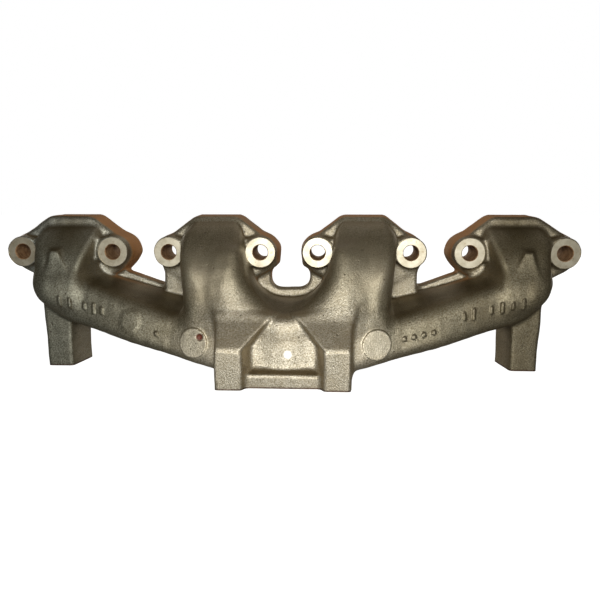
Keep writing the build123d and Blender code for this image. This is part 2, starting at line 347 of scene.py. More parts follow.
def bowl(x, y, z):
    """The round-bottomed hollow between the two inner branches, deeper towards the front."""
    depth = BOWL_DEPTH + BOWL_DEEPENS * (WEB_FRONT - y)
    half = np.interp(y, (-50.0, WEB_FRONT), (BOWL_FRONT_HALF, BOWL_BACK_HALF))
    power = np.interp(y, (-70.0, WEB_FRONT), (BOWL_FRONT_POWER, BOWL_BACK_POWER))
    across = (x / half) ** power + (np.maximum(-1.0 - z, 0.0) / depth) ** power
    return (across ** (1.0 / power) - 1.0) * half * BOWL_SCALE


# Webs, necks, feet, pads and ribs -----------------------------------------------------------------
WEB_EDGE, WEB_RISE = (128.0, -18.2), 0.36
NOTCH_HALF, NOTCH_DEPTH = 15.6, -30.3


def webs(x, y, z):
    """The walls between the flanges: the side web, the neck under the bolt beside it, the centre web."""
    edge = WEB_EDGE[1] - WEB_RISE * (WEB_EDGE[0] - x)
    side = clip(clip(z - edge, between(x, 88.0, 140.0, 2.0), 2.0), -50.0 - z, 2.0)
    side = clip(side, between(y, WEB_FRONT, WEB_BACK, 3.0), 2.5)
    neck = clip(between(x, 78.0, 99.0, 4.0), between(z, -42.0, 2.0, 3.0), 3.0)
    neck = clip(neck, between(y, FLANGE_FRONT, WEB_BACK, 3.0), 3.0)
    notch = clip(x - NOTCH_HALF, NOTCH_DEPTH - z, 10.0)
    centre = clip(x - 46.0, between(z, -52.0, -9.0, 4.0), 3.0)
    centre = clip(centre, between(y, WEB_FRONT, WEB_BACK, 3.0), 2.5)
    centre = cut(centre, notch, 3.0)
    return join(join(side, neck, 6.0), centre, 3.0)


FOOT_INSIDE, FOOT_TOP = 166.8, -36.0


def feet(x, y, z):
    """One leg, with its inner side splayed towards the back."""
    inner = FOOT_INSIDE - 0.14 * (y - FOOT_LOW[1])
    outer = FOOT_HIGH[0] + 0.035 * (z - OUTLET_FACE)
    sides = between(x, inner, outer, 3.5)
    depth = between(y, FOOT_LOW[1], FOOT_HIGH[1], 3.5)
    return clip(clip(sides, depth, 3.0), between(z, BELOW, FOOT_TOP, 2.0), 2.0)


PAD_HEIGHT = 3.2  # how far the pad stands out of the log
PAD_TURN = 0.265  # how much its front turns away from the middle


def pads(x, y, z):
    """The round pad on the front of the log, which leans with it."""
    front = log_front(PAD[0], z) + PAD_TURN * (x - PAD[0]) - PAD_HEIGHT
    side = np.hypot(x - PAD[0], z - PAD[2]) - PAD_R + 0.15 * (y - front)
    return clip(side, between(y, front, -60.0, 2.0), 0.8)


RIB = [(RIB_OUTSIDE + 0.6, 2.0), (173.0, 2.0), (167.0, -14.0), (RIB_OUTSIDE + 0.6, -16.0)]


def ribs(x, y, z):
    """The short rib on the outer branch: upright outside, sloping inside."""
    outline = convex(x, z, RIB, 2.0)
    front = -50.5 + 0.2 * (z - 2.0)
    return clip(outline, between(y, front, -30.0, 2.0), 2.0)


# Raised marks: plain bars and pips where a foundry puts its marks, with nothing to read -----------
# Bars are (side, X, half their length) and pips (side, X); both rows climb with the log.
BARS = [
    (-1, 168.0, 3.0), (-1, 160.5, 3.0), (-1, 150.0, 1.6), (-1, 142.5, 3.0), (-1, 136.0, 1.6),
    (1, 170.0, 3.0), (1, 162.5, 1.6), (1, 155.0, 3.0), (1, 147.5, 1.6), (1, 134.5, 3.0), (1, 127.5, 1.6),
]
PIPS = [(-1, 93.0), (1, 84.0), (1, 91.0), (1, 98.0), (1, 105.0)]
ROW_SLOPE = 0.2
BAR_R, PIP_R = 1.2, 1.7
NOWHERE = 99.0


def raised_marks(signed_x, y, z):
    """Low bars and pips that follow the slope of each log."""
    side = np.sign(signed_x)
    x = np.abs(signed_x)
    rise = z + 40.0 - ROW_SLOPE * (x - 140.0)
    solid = NOWHERE + 0 * (x + y + z)
    for hand, place, half in BARS:
        bar = np.hypot(np.maximum(np.abs(rise) - half, 0.0), x - place) - BAR_R
        solid = np.where(side == hand, np.minimum(solid, bar), solid)
    low = z + 54.0 - ROW_SLOPE * (x - 100.0)
    for hand, place in PIPS:
        pip = np.hypot(low, x - place) - PIP_R
        solid = np.where(side == hand, np.minimum(solid, pip), solid)
    return solid


MARK_HEIGHT = 1.0
PATCH_X, PATCH_Z, PATCH_R, PATCH_HEIGHT = 113.5, -47.5, 7.6, 0.6  # the faint round patch on the left log
WALL = 5.5  # the iron round the gas way in the log
REAR_BOSS_R = 9.0
REAR_BOSS_TOP = -60.0
DENT_R = 2.6  # the small rusty dent in the left pad
DENT_IN, DENT_UP, DENT_OUT = 4.6, 4.4, 1.6  # its middle, from the middle of the pad's front
INSIDE = 0.15  # how far the rough skin stays inside the CAD model's ends and front


def gas_ways(x, y, z, core):
    """The ways inside: down from each port, and along the log to the collector."""
    along = clip(core, -bowl(x, y, z), 6.0) + WALL
    inner_way = bend(x, y, z, INNER_PORT, -12.0, PORT_R)
    outer_way = bend(x, y, z, OUTER_PORT, -6.0, PORT_R)
    ways = join(along, clip(inner_way, -54.0 - z, 4.0), 8.0)
    ways = join(ways, clip(outer_way, -44.0 - z, 4.0), 8.0)
    rear_boss = np.hypot(x - STUD_X, y - OUTLET_Y - STUD_Y) - REAR_BOSS_R
    return cut(ways, clip(rear_boss, z - REAR_BOSS_TOP, 3.0), 4.0)


def relief(signed_x, y, z):
    """How far the marks and the round patch stand out of the fronts of the logs."""
    marks = raised_marks(signed_x, y, z)
    patch = np.hypot(np.abs(signed_x) - PATCH_X, z - PATCH_Z) - PATCH_R
    patch = np.where(signed_x < 0, patch, NOWHERE)
    front = np.clip((-40.0 - y) / 4.0, 0.0, 1.0)
    marks_rise = MARK_HEIGHT * np.clip(0.5 - marks, 0.0, 1.0)
    return front * (marks_rise + PATCH_HEIGHT * np.clip(0.5 - 0.3 * patch, 0.0, 1.0))


def casting(signed_x, y, z):
    """The whole casting before machining."""
    x = np.abs(signed_x)
    core = logs(x, y, z)
    inner_dome, outer_dome = branches(x, y, z)
    body = join(core, outer_dome, 12.0)
    body = join(body, inner_dome, 7.0)
    body = cut(body, bowl(x, y, z), 10.0)
    body = join(body, collector(x, y, z), 8.0)
    body = body - relief(signed_x, y, z)
    body = join(body, ears(signed_x, y, z), 4.0)
    body = join(body, pads(x, y, z), 1.0)
    body = join(body, ribs(x, y, z), 4.0)
    body = join(body, feet(x, y, z), 3.0)
    plates = join(flanges(x, y, z), webs(x, y, z), 4.0)
    solid = join(body, plates, 3.0)
    solid = solid + 0.22 * ripple(signed_x, y, z, 34.0, 3) + 0.07 * ripple(signed_x, y, z, 9.0, 4)
    solid = cut(solid, gas_ways(x, y, z, core), 2.0)
    away = (signed_x + PAD[0] - DENT_IN) ** 2 + (y - PAD_FRONT + DENT_OUT) ** 2
    dent = np.sqrt(away + (z - PAD[2] - DENT_UP) ** 2) - DENT_R
    limits = np.maximum(x - CAD_BOX[1][0] / MM, CAD_BOX[0][1] / MM - y)
    limits = np.maximum(limits, z - CAD_BOX[1][2] / MM)
    return np.maximum(cut(solid, dent, 0.5), limits + INSIDE)


# --------------------------------------------------------------------------------------------------
# Meshing: surface nets on the shared grid, then each vertex is drawn onto the surface itself
# --------------------------------------------------------------------------------------------------
MARGIN = 4.0  # how far past its own space a section is meshed, for the cuts to trim
NEWTON_STEPS = 2


def slopes(points, step=0.25):
    """The gradient of the casting at an array of points."""
    result = np.empty_like(points)
    for axis in range(3):
        ahead = points.copy()
        behind = points.copy()
        ahead[:, axis] += step
        behind[:, axis] -= step
        result[:, axis] = (casting(*ahead.T) - casting(*behind.T)) / (2 * step)
    return result


def surface_net(values):
    """Vertices, in cells, and quads of the surface where values cross zero."""
    inside = values < 0
    cells = tuple(n - 1 for n in values.shape)
    total = np.zeros((3,) + cells, np.float32)
    count = np.zeros(cells, np.uint8)
    crossings = []
    for axis in range(3):
        others = [a for a in range(3) if a != axis]
        near = [slice(None)] * 3
        far = [slice(None)] * 3
        near[axis] = slice(0, -1)
        far[axis] = slice(1, None)
        a, b = values[tuple(near)], values[tuple(far)]
        crossed = inside[tuple(near)] != inside[tuple(far)]
        share = np.where(crossed, a / np.where(crossed, a - b, 1.0), 0.0)
        for first in (0, 1):
            for second in (0, 1):
                window = [slice(None)] * 3
                window[others[0]] = slice(first, cells[others[0]] + first)
                window[others[1]] = slice(second, cells[others[1]] + second)
                here = crossed[tuple(window)]
                count += here
                total[axis] += share[tuple(window)]
                total[others[0]] += first * here
                total[others[1]] += second * here
        crossings.append(crossed)
    used = np.nonzero(count)
    number = np.full(cells, -1, np.int64)
    number[used] = np.arange(len(used[0]))
    points = np.stack([total[a][used] / count[used] + used[a] for a in range(3)], 1)
    quads = []
    for axis in range(3):
        second, third = (axis + 1) % 3, (axis + 2) % 3
        at = np.stack(np.nonzero(crossings[axis]), 1)
        keep = (at[:, second] > 0) & (at[:, third] > 0)
        keep &= (at[:, second] < cells[second]) & (at[:, third] < cells[third])
        at = at[keep]
        corners = []
        for back_second, back_third in ((1, 1), (0, 1), (0, 0), (1, 0)):
            corner = at.copy()
            corner[:, second] -= back_second
            corner[:, third] -= back_third
            corners.append(number[tuple(corner.T)])
        loops = np.stack(corners, 1)
        outward = inside[tuple(at.T)]
        loops[~outward] = loops[~outward][:, ::-1]
        quads.append(loops)
    return points, np.concatenate(quads)


def raw_section(name, low, high):
    """The casting inside a box of space, closed a few millimetres outside it."""
    low = np.floor((np.array(low) - MARGIN) / GRID)
    high = np.ceil((np.array(high) + MARGIN) / GRID)
    axes = [np.arange(low[a] - 2, high[a] + 3) * GRID for a in range(3)]
    x, y, z = np.meshgrid(*axes, indexing="ij", sparse=True)
    sides = [np.maximum(low[a] * GRID - at, at - high[a] * GRID) for a, at in enumerate((x, y, z))]
    box = np.maximum(np.maximum(sides[0], sides[1]), sides[2])
    values = np.maximum(casting(x, y, z), box)
    cells, quads = surface_net(values.astype(np.float32))
    points = cells * GRID + np.array([axis[0] for axis in axes])
    inner = np.all((points > (low + 1) * GRID) & (points < (high - 1) * GRID), 1)
    for _ in range(NEWTON_STEPS):
        at = points[inner]
        slope = slopes(at)
        step = casting(*at.T)[:, None] * slope / np.maximum((slope**2).sum(1, keepdims=True), 0.05)
        points[inner] = at - np.clip(step, -0.5 * GRID, 0.5 * GRID)
    return mesh_object(name, points, quads)


def mesh_object(name, points, faces):
    """A mesh object from points in millimetres."""
    mesh = bpy.data.meshes.new(name)
    mesh.from_pydata((np.asarray(points) * MM).tolist(), [], [list(map(int, face)) for face in faces])
    mesh.update()
    thing = bpy.data.objects.new(name, mesh)
    bpy.context.collection.objects.link(thing)
    return thing


# --------------------------------------------------------------------------------------------------
# Cutters
# --------------------------------------------------------------------------------------------------
BOX_FACES = [(0, 3, 2, 1), (4, 5, 6, 7), (0, 1, 5, 4), (1, 2, 6, 5), (2, 3, 7, 6), (3, 0, 4, 7)]


def block(low, high):
    """A box as points and faces."""
    corners = [(0, 0, 0), (1, 0, 0), (1, 1, 0), (0, 1, 0), (0, 0, 1), (1, 0, 1), (1, 1, 1), (0, 1, 1)]
    return [[high[a] if c[a] else low[a] for a in range(3)] for c in corners], BOX_FACES


def turned(profile, centre, axis, sides=72):
    """A solid of revolution along Y or Z. The profile is (place along the axis, radius) from end to end."""
    points, faces = [], []
    for along, radius in profile:
        for i in range(sides):
            angle = 2 * math.pi * (i + 0.5) / sides
            c, s = radius * math.cos(angle), radius * math.sin(angle)
            if axis == "y":
                points.append((centre[0] + s, along, centre[1] + c))
            else:
                points.append((centre[0] + c, centre[1] + s, along))
    for ring in range(len(profile) - 1):
        near, far = ring * sides, (ring + 1) * sides
        for i in range(sides):
            j = (i + 1) % sides
            faces.append((near + i, near + j, far + j, far + i))
    faces.append(tuple(reversed(range(sides))))
    faces.append(tuple((len(profile) - 1) * sides + i for i in range(sides)))
    return points, faces


SPOT_R = 11.2
BEVEL = 0.5
TAP_DEPTH, TAP_STRAIGHT = 22.0, 20.0  # to the tip of the drill's cone, and to the end of the round wall
TAP_TIP_R = 0.4
BORE_TOP = PLATE_TOP + 6.0
PAST = 12.0  # how far a cutter runs past the surface it cuts


def machining_cutters():
    """Every machined cut as (points, faces, low corner, high corner)."""
    cutters = []

    def keep(solid):
        cutters.append((*solid, *solid_box(solid)))

    for hand in (-1, 1):
        for bolt in BOLTS:
            profile = [
                (BOSS_FRONT - 2 * PAST, SPOT_R), (BOSS_FRONT, SPOT_R),
                (BOSS_FRONT, BOLT_R + BEVEL), (BOSS_FRONT + BEVEL, BOLT_R),
                (-BEVEL, BOLT_R), (0.0, BOLT_R + BEVEL), (PAST, BOLT_R + BEVEL),
            ]
            keep(turned(profile, (hand * bolt, 0.0), "y"))
        for end in (-1, 1):
            profile = [
                (OUTLET_FACE - PAST, STUD_R + 2 * BEVEL), (OUTLET_FACE, STUD_R + 2 * BEVEL),
                (OUTLET_FACE + 2 * BEVEL, STUD_R), (OUTLET_FACE + TAP_STRAIGHT, STUD_R),
                (OUTLET_FACE + TAP_DEPTH, TAP_TIP_R),
            ]
            keep(turned(profile, (hand * STUD_X, OUTLET_Y + end * STUD_Y), "z"))
    profile = [
        (OUTLET_FACE - PAST, OUTLET_R + BEVEL), (OUTLET_FACE, OUTLET_R + BEVEL),
        (OUTLET_FACE + BEVEL, OUTLET_R), (BORE_TOP, OUTLET_R),
    ]
    keep(turned(profile, (0.0, OUTLET_Y), "z", 128))
    keep(block((-260, 0.0, -120), (260, 2 * PAST, 60)))
    keep(block((-260, -140, OUTLET_FACE - 2 * PAST), (260, 60, OUTLET_FACE)))
    return cutters


def boolean(target, points, faces, operation):
    """Cuts or keeps part of a mesh object, and puts the result in its place."""
    tool = mesh_object("tool", points, faces)
    change = target.modifiers.new("cut", "BOOLEAN")
    change.operation = operation
    change.solver = "MANIFOLD"
    change.object = tool
    seen = target.evaluated_get(bpy.context.evaluated_depsgraph_get())
    result = bpy.data.meshes.new_from_object(seen)
    target.modifiers.clear()
    old = target.data
    target.data = result
    bpy.data.meshes.remove(old)
    old = tool.data
    bpy.data.objects.remove(tool)
    bpy.data.meshes.remove(old)


def drop_slivers(target, least=1.0):
    """Removes loose bits that the cuts leave behind: those whose box is under so many cubic millimetres."""
    work = bmesh.new()
    work.from_mesh(target.data)
    seen = set()
    spare = []
    for start in work.verts:
        if start in seen:
            continue
        seen.add(start)
        bit = [start]
        for vertex in bit:
            for edge in vertex.link_edges:
                other = edge.other_vert(vertex)
                if other not in seen:
                    seen.add(other)
                    bit.append(other)
        size = np.ptp(np.array([vertex.co for vertex in bit]), axis=0) / MM
        if size.prod() < least:
            spare += bit
    if spare:
        bmesh.ops.delete(work, geom=spare, context="VERTS")
        work.to_mesh(target.data)
    work.free()


# --------------------------------------------------------------------------------------------------
# Sections: each piece is the part of the casting in its own space, less what earlier pieces have claimed
# --------------------------------------------------------------------------------------------------
FAR = 240.0
TIP_FLOOR = -19.0  # the bottom of the flanges' space
WEB_FLOOR = -38.0  # the bottom of the webs' space
LOW, HIGH, FRONT, BACK = -110.0, 60.0, -120.0, 10.0  # past the casting on every side
PORT_SPLIT = (INNER_PORT + OUTER_PORT) / 2
END_SPLIT = node_box("log_end_right")[0][0]
INNER_SPLIT = node_box("log_inner_right")[1][0]
MIDDLE_SPLIT = node_box("collector")[1][0]
RIDGE = 14.0  # where the collector gives way to the inner branches, above the logs
STUD_BOSS_TOP = -58.0
STUD_BOSS_R = 9.6
CLAIM_R = 13.6  # the round space that a bolt boss has in front of its flange


def boss_space(bolt, hand):
    """The round space of a bolt boss."""
    return turned([(BOSS_FRONT - PAST, CLAIM_R), (FLANGE_FRONT + 3.0, CLAIM_R)], (hand * bolt, 0.0), "y")


def side_block(hand, x0, x1, y0, y1, z0, z1):
    """A box on one side of the engine's middle."""
    low_x, high_x = sorted((hand * x0, hand * x1))
    return block((low_x, y0, z0), (high_x, y1, z1))


SIDES = ((-1, "left", "2", "1"), (1, "right", "3", "4"))  # hand, side, inner port, outer port


def sections():
    """Every piece in the order that it claims its space: (node, [solids of space])."""
    rows = []
    for hand, side, inner, outer in SIDES:
        web_split = PORT_SPLIT - 8.0
        pad_space = turned([(LOW, PAD_R + 1.2), (-79.0, PAD_R + 1.2)], (hand * PAD[0], PAD[2]), "y")
        rib_space = side_block(hand, 166.0, 181.5, -75.0, -46.0, TIP_FLOOR - 0.5, 4.0)
        ear_space = side_block(hand, 17.0, 60.0, FRONT, -86.0, PLATE_TOP, -34.0)
        foot_space = side_block(hand, 158.0, 200.0, -80.0, 0.0, LOW, -62.5)
        web_space = side_block(hand, web_split, END_SPLIT, WEB_FRONT - 0.5, BACK, WEB_FLOOR, TIP_FLOOR)
        neck_space = side_block(
            hand, INNER_SPLIT + 2.0, web_split, FLANGE_FRONT - 0.5, BACK, -34.0, TIP_FLOOR
        )
        inner_flange = side_block(hand, 0.0, PORT_SPLIT, FLANGE_FRONT, BACK, TIP_FLOOR, HIGH)
        outer_flange = side_block(hand, PORT_SPLIT, FAR, FLANGE_FRONT, BACK, TIP_FLOOR, HIGH)
        inner_bosses = [boss_space(bolt, hand) for bolt in BOLTS[:2]]
        outer_bosses = [boss_space(bolt, hand) for bolt in BOLTS[2:]]
        rows += [
            ("cast_pad_" + side, [pad_space]),
            ("branch_rib_" + side, [rib_space]),
            ("outlet_ear_" + side, [ear_space]),
            ("foot_" + side, [foot_space]),
            ("web_" + side, [web_space]),
            ("gusset_" + side, [neck_space]),
            ("port_flange_" + inner, [inner_flange] + inner_bosses),
            ("port_flange_" + outer, [outer_flange] + outer_bosses),
        ]
    rows.append(("outlet_flange", [block((-60, FRONT, LOW), (60, 0, PLATE_TOP))]))
    for hand, side, _, _ in SIDES:
        centre = (hand * STUD_X, OUTLET_Y + STUD_Y)
        stud_space = turned([(PLATE_TOP, STUD_BOSS_R), (STUD_BOSS_TOP, STUD_BOSS_R)], centre, "z")
        rows.append(("stud_boss_" + side, [stud_space]))
    centre_low = (-MIDDLE_SPLIT, WEB_FRONT - 0.5, WEB_FLOOR - 4.0)
    rows.append(("web_centre", [block(centre_low, (MIDDLE_SPLIT, BACK, TIP_FLOOR))]))
    for hand, side, inner, outer in SIDES:
        inner_dome = side_block(hand, RIDGE, INNER_SPLIT + 3.0, FRONT, BACK, WEB_FLOOR, HIGH)
        inner_flare = side_block(hand, 1.0, 104.0, -60.0, BACK, -23.0, HIGH)
        outer_dome = side_block(hand, END_SPLIT, FAR, FRONT, BACK, TIP_FLOOR, HIGH)
        outer_flare = side_block(hand, 126.0, END_SPLIT + 1.0, -60.0, BACK, 0.0, HIGH)
        rows += [
            ("branch_" + inner, [inner_dome, inner_flare]),
            ("branch_" + outer, [outer_dome, outer_flare]),
            ("log_end_" + side, [side_block(hand, END_SPLIT, FAR, FRONT, BACK, LOW, HIGH)]),
            ("log_outer_" + side, [side_block(hand, INNER_SPLIT, END_SPLIT, FRONT, BACK, LOW, HIGH)]),
            ("log_inner_" + side, [side_block(hand, MIDDLE_SPLIT, INNER_SPLIT, FRONT, BACK, LOW, HIGH)]),
        ]
    rows.append(("collector", [block((-MIDDLE_SPLIT, FRONT, LOW), (MIDDLE_SPLIT, BACK, HIGH))]))
    return rows


# --------------------------------------------------------------------------------------------------
# Materials
# --------------------------------------------------------------------------------------------------
class Nodes:
    """A short way to write a node tree."""

    def __init__(self, name):
        self.material = bpy.data.materials.new(name)
        self.material.use_nodes = True
        self.tree = self.material.node_tree
        self.tree.nodes.clear()

    def add(self, kind, inputs=None, **settings):
        """Adds a node, sets its properties and feeds its inputs with values or other nodes' outputs."""
        node = self.tree.nodes.new("ShaderNode" + kind)
        for key, value in settings.items():
            setattr(node, key, value)
        for key, value in (inputs or {}).items():
            if isinstance(value, bpy.types.NodeSocket):
                self.tree.links.new(value, node.inputs[key])
            else:
                node.inputs[key].default_value = value
        return node

    def mix(self, factor, first, second, blend="MIX"):
        """Mixes two colours."""
        node = self.add("Mix", {0: factor}, data_type="RGBA", blend_type=blend)
        for socket, value in ((node.inputs[6], first), (node.inputs[7], second)):
            if isinstance(value, bpy.types.NodeSocket):
                self.tree.links.new(value, socket)
            else:
                socket.default_value = value
        return node.outputs[2]

    def math(self, operation, first, second=0.0):
        """One step of arithmetic."""
        return self.add("Math", {0: first, 1: second}, operation=operation).outputs[0]

    def times(self, first, second):
        """One value multiplied by another."""
        return self.math("MULTIPLY", first, second)

    def noise(self, scale, detail=3.0, roughness=0.6, distortion=0.0):
        """Noise in the object's own space. Scale is in cycles for each metre."""
        inputs = {
            "Vector": self.place, "Scale": scale, "Detail": detail, "Roughness": roughness,
            "Distortion": distortion,
        }
        return self.add("TexNoise", inputs).outputs["Fac"]

    @property
    def place(self):
        """Where the point is, in the object's own space."""
        if not hasattr(self, "_place"):
            self._place = self.add("TexCoord").outputs["Object"]
        return self._place

    def ramp(self, value, low, high):
        """A straight ramp from 0 at low to 1 at high, held at both ends."""
        inputs = {"Value": value, "From Min": low, "From Max": high}
        return self.add("MapRange", inputs, clamp=True).outputs["Result"]

    def near(self, centre, radius, soft):
        """1 inside a small sphere, 0 outside it. Sizes in millimetres."""
        offset = self.add("VectorMath", {0: self.place, 1: [c * MM for c in centre]}, operation="DISTANCE")
        return self.ramp(offset.outputs["Value"], (radius + soft) * MM, (radius - soft) * MM)

    def finish(self, surface):
        """Puts a shader on the material's surface, and gives the material."""
        output = self.add("OutputMaterial")
        self.tree.links.new(surface.outputs[0], output.inputs["Surface"])
        return self.material


def colour(r, g, b):
    """A colour as a socket takes it."""
    return (r, g, b, 1.0)


PAINT_DOT = (2.6, -90.6, -66.0)


def cast_iron():
    """Sand-cast skin: grey-brown speckle, browner where rust has set in, over a grainy surface, with
    painted shade and painted highlights.
    """
    n = Nodes("cast_iron_skin")
    grain = n.noise(1500.0, 2.0, 0.75)
    speckle = n.noise(1000.0, 2.0, 0.7)
    blotch = n.noise(60.0, 4.0, 0.6)
    patina = n.noise(18.0, 2.0, 0.5)

    # Speckle and blotches, colder towards the far left
    base = n.mix(n.ramp(speckle, 0.34, 0.68), colour(0.25, 0.22, 0.155), colour(0.62, 0.58, 0.49))
    base = n.mix(n.times(n.ramp(blotch, 0.42, 0.68), 0.35), base, colour(0.36, 0.30, 0.20))
    place = n.add("SeparateXYZ", {0: n.place})
    cold = n.times(n.ramp(place.outputs["X"], -0.06, -0.20), 0.7)
    cold_iron = n.mix(n.ramp(speckle, 0.34, 0.68), colour(0.16, 0.18, 0.17), colour(0.48, 0.53, 0.53))
    base = n.mix(cold, base, cold_iron)

    # Painted shade: browner on slopes and dark on level tops, where the light falls least
    facing = n.add("SeparateXYZ", {0: n.add("NewGeometry").outputs["Normal"]})
    tilt = n.math("ABSOLUTE", facing.outputs["Y"])
    # Mask of the painted shade on slopes
    slope = n.ramp(tilt, 0.88, 0.4)
    base = n.mix(n.times(slope, 0.5), base, colour(0.30, 0.22, 0.11))
    painted_top_shade = n.ramp(facing.outputs["Z"], 0.74, 0.97)
    base = n.mix(n.times(painted_top_shade, 0.75), base, colour(0.12, 0.082, 0.028))

    # Painted light and shade: brightest where the iron stands out, and at the webs; darker between
    proud = n.ramp(place.outputs["Y"], -0.076, -0.087)
    recessed = n.times(n.ramp(place.outputs["Y"], -0.044, -0.034), 0.6)
    painted_depth_shade = n.math("SUBTRACT", 1.0, n.math("MAXIMUM", proud, recessed))
    base = n.mix(painted_depth_shade, base, n.mix(1.0, base, colour(0.58, 0.57, 0.51), "MULTIPLY"))
    for side in (-1, 1):
        # Painted highlight on the front of each inner dome
        painted_dome_highlight = n.near((side * INNER_PORT, -68.0, -12.0), 16.0, 14.0)
        base = n.mix(n.times(painted_dome_highlight, 0.5), base, colour(0.56, 0.50, 0.38))
        # Painted shade on the upper slope of each outer dome
        painted_dome_shade = n.near((side * OUTER_PORT, -34.0, 16.0), 15.0, 10.0)
        base = n.mix(n.times(painted_dome_shade, 0.75), base, colour(0.10, 0.078, 0.035))
    far_right = n.ramp(place.outputs["X"], 0.11, 0.17)
    base = n.mix(far_right, base, n.mix(1.0, base, colour(0.78, 0.76, 0.72), "MULTIPLY"))

    # Rust on the sides of the flanges
    behind = n.ramp(place.outputs["Y"], (FLANGE_FRONT - 3.0) * MM, (FLANGE_FRONT + 1.0) * MM)
    steep = n.times(n.times(n.ramp(tilt, 0.5, 0.1), behind), n.ramp(patina, 0.28, 0.45))
    steep = n.times(steep, n.ramp(place.outputs["Z"], -0.03, -0.015))
    base = n.mix(n.times(steep, 0.9), base, colour(0.36, 0.155, 0.035))

    # The pads' paler fronts, pits, the dark line along the machined hem, the rusty dent and the paint dot
    for side in (-1, 1):
        disc = n.near((side * PAD[0], PAD_FRONT, PAD[2]), PAD_R + 1.5, 0.8)
        base = n.mix(n.times(disc, 0.25), base, colour(0.80, 0.74, 0.58))
    pits = n.ramp(n.noise(420.0, 1.0, 0.5), 0.30, 0.20)
    base = n.mix(n.times(pits, 0.7), base, colour(0.05, 0.035, 0.02))
    hem = n.ramp(place.outputs["Z"], -0.0859, -0.0868)
    base = n.mix(n.times(hem, 0.75), base, colour(0.07, 0.03, 0.02))
    rust = n.near((-PAD[0] + DENT_IN, PAD_FRONT, PAD[2] + DENT_UP), 2.4, 0.7)
    base = n.mix(rust, base, colour(0.11, 0.025, 0.012))
    dot = n.near(PAINT_DOT, 3.1, 0.35)
    base = n.mix(dot, base, colour(0.93, 0.92, 0.88))

    clean = n.math("SUBTRACT", 1.0, n.math("MAXIMUM", dot, rust))
    metal = n.times(clean, n.math("SUBTRACT", 0.9, n.times(steep, 0.65)))
    rough = n.math("ADD", 0.46, n.times(blotch, 0.12))
    rough = n.math("ADD", rough, n.times(steep, 0.2))
    heights = n.math("ADD", n.times(grain, 0.6), n.times(speckle, 0.5))
    heights = n.math("SUBTRACT", heights, n.times(pits, 0.5))
    bump = n.add("Bump", {"Height": heights, "Strength": 0.9, "Distance": 0.00045})
    return n.finish(n.add("BsdfPrincipled", {
        "Base Color": base, "Metallic": metal, "Roughness": rough, "Normal": bump.outputs["Normal"],
    }))


def machined_iron(name, light, dark, roughness, rings):
    """A cut face: bright iron, a little stained, with fine tool marks of so many cycles for each metre."""
    n = Nodes(name)
    blotch = n.noise(160.0, 3.0, 0.6)
    fine = n.noise(2500.0, 2.0, 0.6)
    base = n.mix(n.ramp(blotch, 0.38, 0.66), colour(*light), colour(*dark))
    stain = n.ramp(n.noise(420.0, 2.0, 0.6), 0.62, 0.74)
    base = n.mix(n.times(stain, 0.5), base, colour(0.30, 0.20, 0.09))
    heights = n.math("ADD", n.times(fine, 0.6), n.times(n.noise(rings, 1.0, 0.5), 0.4))
    bump = n.add("Bump", {"Height": heights, "Strength": 0.35, "Distance": 0.0001})
    return n.finish(n.add("BsdfPrincipled", {
        "Base Color": base, "Metallic": 0.9, "Roughness": roughness, "Normal": bump.outputs["Normal"],
    }))


def bore_iron():
    """The wall of a drilled hole, rusted brown."""
    n = Nodes("drilled_iron")
    blotch = n.noise(300.0, 3.0, 0.6)
    base = n.mix(n.ramp(blotch, 0.35, 0.65), colour(0.17, 0.085, 0.035), colour(0.36, 0.22, 0.115))
    bump = n.add("Bump", {"Height": n.noise(1500.0, 2.0, 0.6), "Strength": 0.4, "Distance": 0.0002})
    return n.finish(n.add("BsdfPrincipled", {
        "Base Color": base, "Metallic": 0.25, "Roughness": 0.65, "Normal": bump.outputs["Normal"],
    }))


SKIN, SPOT, BORE, FACED = range(4)
FINISHES = [
    cast_iron(),
    machined_iron("spot_faced_iron", (0.62, 0.58, 0.47), (0.46, 0.42, 0.32), 0.45, 900.0),
    bore_iron(),
    machined_iron("faced_iron", (0.55, 0.53, 0.49), (0.40, 0.38, 0.34), 0.42, 500.0),
]


AGREEMENT = 0.6  # the least cosine between a face's normal and the casting's that shows the cast skin


